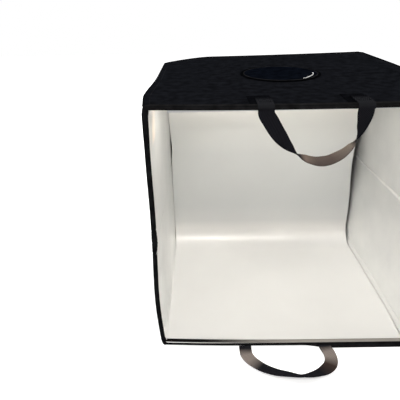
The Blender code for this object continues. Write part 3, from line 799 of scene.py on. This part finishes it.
def edge_binding(name, outward, start, end, extra, tuck):
    """Binding on a wall's front edge between two heights; tuck draws its outer end inwards."""
    heights = steps(start, end, 0.0022 if start < CREASE_Z < end else 0.003)

    def place(u, v):
        share, forward = item_at(TAPE_SECTION, u)
        z = item_at(heights, v)
        full = swell(z) + extra
        pull = tuck * max(0.0, 1 - (z - start if start < 0.1 else end - z) / 0.014) ** 2
        x = BIND_X - pull + share * BIND_R * full
        return Vector((outward * x, -HALF + forward * full, z))

    strip = laid(name, len(TAPE_SECTION) - 1, len(heights) - 1, place)
    thicken(strip, (0, -1, 0), BIND_THICK, tape)
    return strip


for side, outward in (("left", -1), ("right", 1)):
    long_edge = edge_binding(f"{side}_wall_binding", outward, WALL_FOOT, WALL_HEAD, 0.0, 0.0)
    start, end = (0, 0, CREASE_Z - 0.022), (0, 0, CREASE_Z + 0.022)
    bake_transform(long_edge)
    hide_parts(f"{side}_lower_binding", f"{side}_upper_binding")
    foot = edge_binding(f"{side}_foot_binding", outward, 0.0012, 0.0200, 0.03, 0.0024)
    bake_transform(foot)
    head = edge_binding(f"{side}_head_binding", outward, 0.4765, 0.4985, 0.01, 0.0026)
    if side == "left":
        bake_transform(head)
    else:
        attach(head, "roof")
    for half, start, end in (("lower", 0.022, 0.222), ("upper", 0.281, 0.474)):
        stitches(
            f"{side}_{half}_binding_seam",
            [((outward * x, BIND_SEAM_Y, start), (outward * x, BIND_SEAM_Y, end))
             for x in (0.2436, 0.2509)],
            f"{side}_{half}",
        )


def roof_binding_place(u, v):
    """Tape along the roof's front edge, drawn in a little at both ends."""
    share, forward = item_at(TAPE_SECTION, u)
    half = 0.2462
    x = -half + 2 * half * v
    full = 1 - 0.25 * max(0.0, 1 - (half - abs(x)) / 0.008) ** 2
    return Vector((x, -HALF + forward * full, 0.4972 + share * BIND_R * full))


roof_tape = cloth("roof_tape", (0.0125, 0.0122, 0.0126), 0.0011, 0.0004, 0.8, 0.0)
edge = laid("roof_front_binding", len(TAPE_SECTION) - 1, 70, roof_binding_place)
thicken(edge, (0, -1, 0), BIND_THICK, roof_tape)
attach(edge, "roof")
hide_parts("top_front_binding")
seam_ends = ((-0.240, BIND_SEAM_Y, 0.5011), (0.240, BIND_SEAM_Y, 0.5011))
stitches("roof_binding_seam", [seam_ends], "roof")


def base_binding_place(u, v):
    """Tape round the base's front edge; at the left it is slack and lifts off the table."""
    half = 0.2455
    x = -half + 2 * half * v
    flange = 0.0006 + 0.0010 * part_way(x, -0.24, 0.30)
    lift = 0.0014 * max(0.0, (-0.12 - x) / 0.125) ** 2
    section = [  # height, and how far behind the front plane
        (0.0063, flange), (0.0066, 0.0004), (0.0060, -0.0004), (0.0046, -0.0010),
        (0.0028, -0.0012), (0.0014, -0.0010), (0.0004, 0.0000), (0.0004, 0.0040),
    ]
    z, forward = item_at(section, u)
    rounded = 0.003 * max(0.0, 1 - (half - abs(x)) / 0.006) ** 2
    return Vector((x, -HALF + forward + rounded, z + lift * (1 - z / 0.0066)))


edge = laid("base_front_binding", 7, 70, base_binding_place)
thicken(edge, (0, -1, 0), 0.0006, tape)
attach(edge, "base")
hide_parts("bottom_front_binding")


def hem_tape_place(u, v):
    """Narrow tape over the floor lining's front edge, coloured as painted shade."""
    half = 0.2420
    x = -half + 2 * half * v
    front = -0.2462 - 0.0018 * min(1.0, v / 0.4)
    return Vector((x, front + 0.0085 * u, 0.00595 + 0.0002 * math.sin(math.pi * u)))


# Painted shade: the hem tape is black at the left, in the shade of the sheet's lifted edge, and
# pales towards the right to the grey of lining in shade.
hem_painted_shade = tape.copy()
hem_painted_shade.name = "hem_tape_painted_shade"
tree = hem_painted_shade.node_tree
place = tree.nodes["Texture Coordinate"].outputs["Object"]
across = add_node(tree, "SeparateXYZ", {0: place}).outputs["X"]
shade_share = ranged(tree, across, -0.18, 0.02, easing="SMOOTHSTEP")
fade = ramp(tree, shade_share, [(0.0, (0.010, 0.009, 0.009)), (1.0, (0.34, 0.32, 0.30))])
feed(tree, tree.nodes["Principled BSDF"], {"Base Color": fade})
edge = laid("lining_hem_tape_painted_shade", 4, 80, hem_tape_place)
thicken(edge, (0, 0, 1), 0.0003, hem_painted_shade)
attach(edge, "base")

# White sheet: one piece of smooth satin plastic sheet. Its top lip is taped under the roof near
# the back, it hangs down, turns in a soft sweep and lies out to the front edge.
# The line down its middle as y and z: sharp corners first, then rounded by the radii.
LIP_Z, FLOOR_Z = 0.4924, 0.0063
corners = [(0.216, LIP_Z), (0.190, LIP_Z), (0.143, 0.360), (0.143, FLOOR_Z), (-0.2430, FLOOR_Z)]
radii = [0.020, 0.200, 0.052]
line = [Vector(corners[0])]
for before, at, after, radius in zip(corners, corners[1:], corners[2:], radii):
    before, at, after = Vector(before), Vector(at), Vector(after)
    to_before, to_after = (before - at).normalized(), (after - at).normalized()
    turn = math.pi - to_before.angle(to_after)
    reach = radius * math.tan(turn / 2)
    centre = at + (to_before + to_after).normalized() * radius / math.cos(turn / 2)
    first, last = at + to_before * reach - centre, at + to_after * reach - centre
    line += [centre + first.slerp(last, i / 12) * radius for i in range(13)]
line.append(Vector(corners[-1]))
spans = [(end - start).length for start, end in zip(line, line[1:])]
whole = sum(spans)


def sheet_place(u, v):
    """A point of the sheet: soft waves where it stands, and a front end that curls up a little."""
    reach = v * whole
    for start, end, span in zip(line, line[1:], spans):
        if reach <= span:
            break
        reach -= span
    y, z = start.lerp(end, min(1.0, reach / span))
    upright = part_way(z, 0.03, 0.06) * part_way(0.45 - z, 0, 0.06)
    left = -0.2404 - 0.0030 * min(1.0, z / 0.06) + 0.0034 * bell(z, 0.295, 0.03)
    right = 0.2392 - 0.0100 * bell(z, 0.25, 0.095)
    x = left + (right - left) * u
    y += noise.noise(Vector((x * 5, z * 6, 0.3))) * 0.0022 * upright
    curl = max(0.0, (-0.185 - y) / 0.056) ** 2
    z += curl * (0.0004 + 0.0026 * max(0.0, 0.5 - u) ** 0.8)
    return Vector((x, y, z))


pvc, tree, shader = new_finish("white_pvc")
place = object_place(tree)
haze = speckle(tree, place, 7, 4)
tone = ramp(tree, haze, [(0.3, (0.90, 0.90, 0.89)), (0.7, (0.94, 0.94, 0.93))])
# Painted light and shade by height: palest low in its sweep where the light catches it, painted
# shade where it stands, and painted lamp light under the lamps.
painted_light_by_height = [
    (0.012, (0.880, 0.878, 0.878)), (0.030, (0.990, 0.975, 0.965)), (0.050, (0.925, 0.915, 0.905)),
    (0.072, (0.780, 0.785, 0.785)), (0.120, (0.735, 0.750, 0.755)), (0.270, (0.765, 0.775, 0.770)),
    (0.345, (0.850, 0.850, 0.830)), (0.385, (0.985, 0.975, 0.945)), (0.430, (1.0, 0.990, 0.960)),
]
rise = ranged(tree, add_node(tree, "SeparateXYZ", {0: place}).outputs["Z"], 0.0, WIDTH)
shade = ramp(tree, rise, [(level / WIDTH, colour) for level, colour in painted_light_by_height])
feed(tree, shader, {
    "Base Color": toned(tree, tone, shade),
    "Normal": relief(tree, speckle(tree, place, 900), 0.0001, 0.3),
    "Roughness": 0.40, "Specular IOR Level": 0.8, "Coat Weight": 0.7, "Coat Roughness": 0.30,
})
sheet = laid("white_sheet", 48, 210, sheet_place)
thicken(sheet, (0, -1, 1), 0.0007, pvc)
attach(sheet, "base")
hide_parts("backdrop_sheet")
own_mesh(sheet)

# Webbing: flat black nylon tape, 25 mm wide, woven in close diagonal ribs. Painted light lies along
# it: a warm grey-brown where it turns its face to the lamps.
WEB_WIDTH = 0.025


def web_finish(name, length, shades):
    """Ribbed webbing with light and shade painted along its length; shades are (share of the
    length, colour).
    """
    made, tree, shader = new_finish(name)
    chart = tree.nodes.new("ShaderNodeUVMap").outputs["UV"]
    ribs = bands(tree, chart, "DIAGONAL", 0.0016, 0.5)
    share = ranged(tree, add_node(tree, "SeparateXYZ", {0: chart}).outputs["X"], 0.0, length)
    shine = ranged(tree, ribs, 0.0, 1.0, 0.75, 1.35)
    feed(tree, shader, {
        "Base Color": toned(tree, ramp(tree, share, shades), shine),
        "Normal": relief(tree, ribs, 0.0004, 0.7),
        "Roughness": 0.62, "Specular IOR Level": 0.0,
    })
    return made


BLACK_WEB, PAINTED_WARM_LIGHT_WEB = (0.0117, 0.0116, 0.0145), (0.0430, 0.0300, 0.0262)
PAINTED_LIGHT_WEB = (0.225, 0.192, 0.176)


def finish_webbing(obj, finish):
    wall = obj.modifiers.new("webbing", "SOLIDIFY")
    wall.thickness = 0.0015
    wall.offset = 0
    edge = obj.modifiers.new("soft_edge", "BEVEL")
    edge.width = 0.0005
    edge.segments = 2
    apply_all(obj)
    bpy.ops.object.shade_smooth_by_angle(angle=math.radians(40))
    obj.data.materials.append(finish)


def webbing_loop(name, shares, tilts, half_span, reach, origin, rotation, shades):
    """Webbing along a smooth line, turned about it by the tilts; its UV map is in metres.

    Each of the shares is how far a knot lies across in half spans, and out and off in reaches.
    """
    curve = bpy.data.curves.new(name, "CURVE")
    curve.dimensions = "3D"
    curve.twist_mode = "Z_UP"
    curve.extrude = WEB_WIDTH / 2
    curve.resolution_u = 14
    spline = curve.splines.new("BEZIER")
    spline.bezier_points.add(len(shares) - 1)
    for knot, (across, out, off), tilt in zip(spline.bezier_points, shares, tilts):
        knot.co = (half_span * across, -reach * out, reach * off)
        knot.handle_left_type = "AUTO"
        knot.handle_right_type = "AUTO"
        knot.tilt = math.radians(tilt)
    obj = bpy.data.objects.new(name, curve)
    bpy.context.scene.collection.objects.link(obj)
    obj.location = origin
    obj.rotation_euler = rotation
    alone(obj)
    bpy.ops.object.convert(target="MESH")
    bpy.ops.object.transform_apply(location=True, rotation=True, scale=True)
    points = [vertex.co for vertex in obj.data.vertices]
    middles = [(first + last) / 2 for first, last in zip(points[::2], points[1::2])]
    paces = [0.0]
    for before, after in zip(middles, middles[1:]):
        paces.append(paces[-1] + (after - before).length)
    chart = obj.data.uv_layers.active
    for loop in obj.data.loops:
        pair, edge = divmod(loop.vertex_index, 2)
        chart.data[loop.index].uv = (paces[pair], WEB_WIDTH * edge)
    finish_webbing(obj, web_finish(name.replace("handle_", ""), paces[-1], shades))
    return obj


# Roof handle: one length of webbing that hangs from the roof's front edge before the opening. It
# turns over on both sides, so that the bottom of the loop shows its inner face.
top_loop = webbing_loop(
    "roof_handle_webbing",
    [(-1.0, 0.0, 0.0), (-1.0, 0.05, 0.0), (-0.90, 0.21, 0.01), (-0.73, 0.45, 0.05),
     (-0.56, 0.64, 0.09), (-0.38, 0.79, 0.12), (-0.15, 0.89, 0.145), (0.18, 0.945, 0.155),
     (0.51, 0.845, 0.15), (0.745, 0.66, 0.14), (0.855, 0.52, 0.11), (0.945, 0.32, 0.05),
     (1.0, 0.08, 0.0), (1.0, 0.0, 0.0)],
    [-90, -90, -86, -68, -42, -14, 8, 14, 9, -6, -30, -60, -90, -90],
    0.0755, 0.084, (0.0125, -0.25235, 0.4932), (math.pi / 2, 0, 0),
    # Painted light: the loop's inner face is warm grey-brown where it turns up to the lamps, and
    # black elsewhere.
    [(0.0, BLACK_WEB), (0.38, BLACK_WEB), (0.425, (0.125, 0.098, 0.084)),
     (0.50, (0.070, 0.056, 0.051)), (0.60, (0.068, 0.053, 0.048)), (0.70, (0.110, 0.091, 0.080)),
     (0.745, (0.130, 0.108, 0.094)), (0.785, BLACK_WEB)],
)
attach(top_loop, "top_handle")
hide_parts("top_handle")
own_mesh(top_loop)

# Handle tabs: the webbing's two ends, laid back over the roof's edge, folded under for strength and
# sewn down with a box of stitches and a cross in it.
# A tab's y and z, from its folded end over the roof to where the loop hangs.
TAB_PATH = [
    (-0.2048, 0.5008), (-0.2042, 0.5014), (-0.2044, 0.5021), (-0.2060, 0.5025), (-0.2200, 0.5027),
    (-0.2400, 0.5026), (-0.2485, 0.5022), (-0.2510, 0.5012), (-0.2522, 0.4994), (-0.25245, 0.4970),
    (-0.25245, 0.4936),
]
TAB_LENGTH, TAB_FACE = 0.058, 0.50352
# Painted shadow: a dark patch reaches out left of and behind each tab where the raised tab's shade
# falls, and the tab's folded rear end is painted dark as shade too.
shadow_tape = cloth("painted_tab_shadow", (0.0034, 0.0037, 0.0048), 0.0011, 0.0004, 0.8, 0.0)
tab_webbing = web_finish(
    "tab_webbing", TAB_LENGTH,
    [(0.0, (0.0038, 0.0040, 0.0052)), (0.345, (0.0042, 0.0044, 0.0056)),
     (0.43, (0.0150, 0.0155, 0.0178)), (0.80, (0.0185, 0.0190, 0.0215)), (1.0, BLACK_WEB)],
)
for side, middle in (("left", -0.0630), ("right", 0.0880)):
    patch = laid(
        f"{side}_tab_painted_shadow", 6, 8,
        lambda u, v: Vector((middle - 0.0235 + 0.0370 * u, -0.2430 + 0.0560 * v, 0.50080)),
    )
    thicken(patch, (0, 0, 1), 0.0006, shadow_tape)
    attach(patch, "roof")
    tab = laid(f"{side}_tab_webbing", 6, len(TAB_PATH) - 1,
               lambda u, v: Vector((middle + (u - 0.5) * WEB_WIDTH, *item_at(TAB_PATH, v))))
    for item in tab.data.uv_layers.active.data:
        item.uv = (item.uv.y * TAB_LENGTH, item.uv.x * WEB_WIDTH)
    finish_webbing(tab, tab_webbing)
    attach(tab, "roof")
    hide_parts(f"top_handle_{side}_tab")
    box = [Vector((middle + x, y, TAB_FACE)) for x, y in
           ((-0.0092, -0.2385), (0.0092, -0.2385), (0.0092, -0.2095), (-0.0092, -0.2095))]
    seam = stitches(
        f"{side}_tab_seam",
        [(box[0], box[1]), (box[1], box[2]), (box[2], box[3]), (box[3], box[0]),
         (box[0], box[2]), (box[1], box[3])],
        "roof",
    )
    seam.data.materials[0] = oxford

# Base handle: the same webbing, sewn into the seam at the base's front edge. It lies out on the
# table, flat at its ends and leaning on edge in the middle.
low_loop = webbing_loop(
    "base_handle_webbing",
    [(-1.0, 0.0, 0.0), (-1.0, 0.10, 0.0), (-0.98, 0.30, 0.0), (-0.77, 0.58, 0.005),
     (-0.42, 0.81, 0.03), (-0.09, 0.915, 0.055), (0.24, 0.99, 0.08), (0.61, 0.90, 0.05),
     (0.87, 0.745, 0.02), (1.03, 0.54, 0.0), (1.06, 0.30, 0.0), (1.01, 0.08, 0.0),
     (1.0, 0.0, 0.0)],
    [-90, -90, -91, -98, -108, -118, -131, -115, -97, -90, -90, -90, -90],
    0.081, 0.082, (0.0, -0.2516, 0.0029), (0, 0, 0),
    # Painted light: pale on the flat ends that face up into the lamps' light, warm where it turns,
    # black where it leans away.
    [(0.03, BLACK_WEB), (0.09, PAINTED_LIGHT_WEB), (0.14, PAINTED_LIGHT_WEB), (0.24, BLACK_WEB), (0.68, BLACK_WEB),
     (0.80, PAINTED_WARM_LIGHT_WEB), (0.88, PAINTED_LIGHT_WEB), (0.93, PAINTED_LIGHT_WEB), (0.985, BLACK_WEB)],
)
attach(low_loop, "bottom_handle")
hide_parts("bottom_handle")

# Lamp bars: drawn aluminium channel, white circuit board with its row of light chips, and a frosted
# strip over them. The inlet at the right end is moulded black plastic.
drawn, tree, shader = new_finish("drawn_aluminium")
stretch = add_node(tree, "Mapping", {"Vector": object_place(tree), "Scale": (6, 900, 900)})
grain = speckle(tree, stretch.outputs["Vector"], 1.0)
feed(tree, shader, {
    "Base Color": ramp(tree, grain, [(0.0, (0.66, 0.67, 0.68)), (1.0, (0.78, 0.79, 0.80))]),
    "Roughness": ranged(tree, grain, 0.0, 1.0, 0.28, 0.45), "Metallic": 1.0,
})

circuit, tree, shader = new_finish("lamp_circuit")
tracks = bands(tree, object_place(tree), "Y", 0.004)
tone = ramp(tree, tracks, [(0.0, (0.78, 0.79, 0.76)), (1.0, (0.88, 0.88, 0.86))])
feed(tree, shader, {"Base Color": tone, "Roughness": 0.35})

frosted, tree, shader = new_finish("frosted_strip")
glow = bands(tree, object_place(tree), "X", 0.018)
tone = ramp(tree, glow, [(0.0, (0.96, 0.90, 0.80)), (1.0, (1.0, 0.965, 0.90))])
feed(tree, shader, {
    "Base Color": tone, "Emission Color": tone, "Emission Strength": 8.5, "Roughness": 0.4,
})
brighter = frosted.copy()
brighter.name = "frosted_strip_rear"
brighter.node_tree.nodes["Principled BSDF"].inputs["Emission Strength"].default_value = 25.3

moulded, tree, shader = new_finish("inlet_plastic")
feed(tree, shader, {
    "Base Color": (0.018, 0.018, 0.020, 1), "Roughness": 0.35,
    "Normal": relief(tree, speckle(tree, object_place(tree), 700), 0.0001, 1.0),
})
for bar, lit_strip in (("front", frosted), ("rear", brighter)):
    for part, finish in (("channel", drawn), ("board", circuit), ("diffuser", lit_strip),
                         ("inlet", moulded)):
        refinish(f"led_{bar}_{part}", finish)
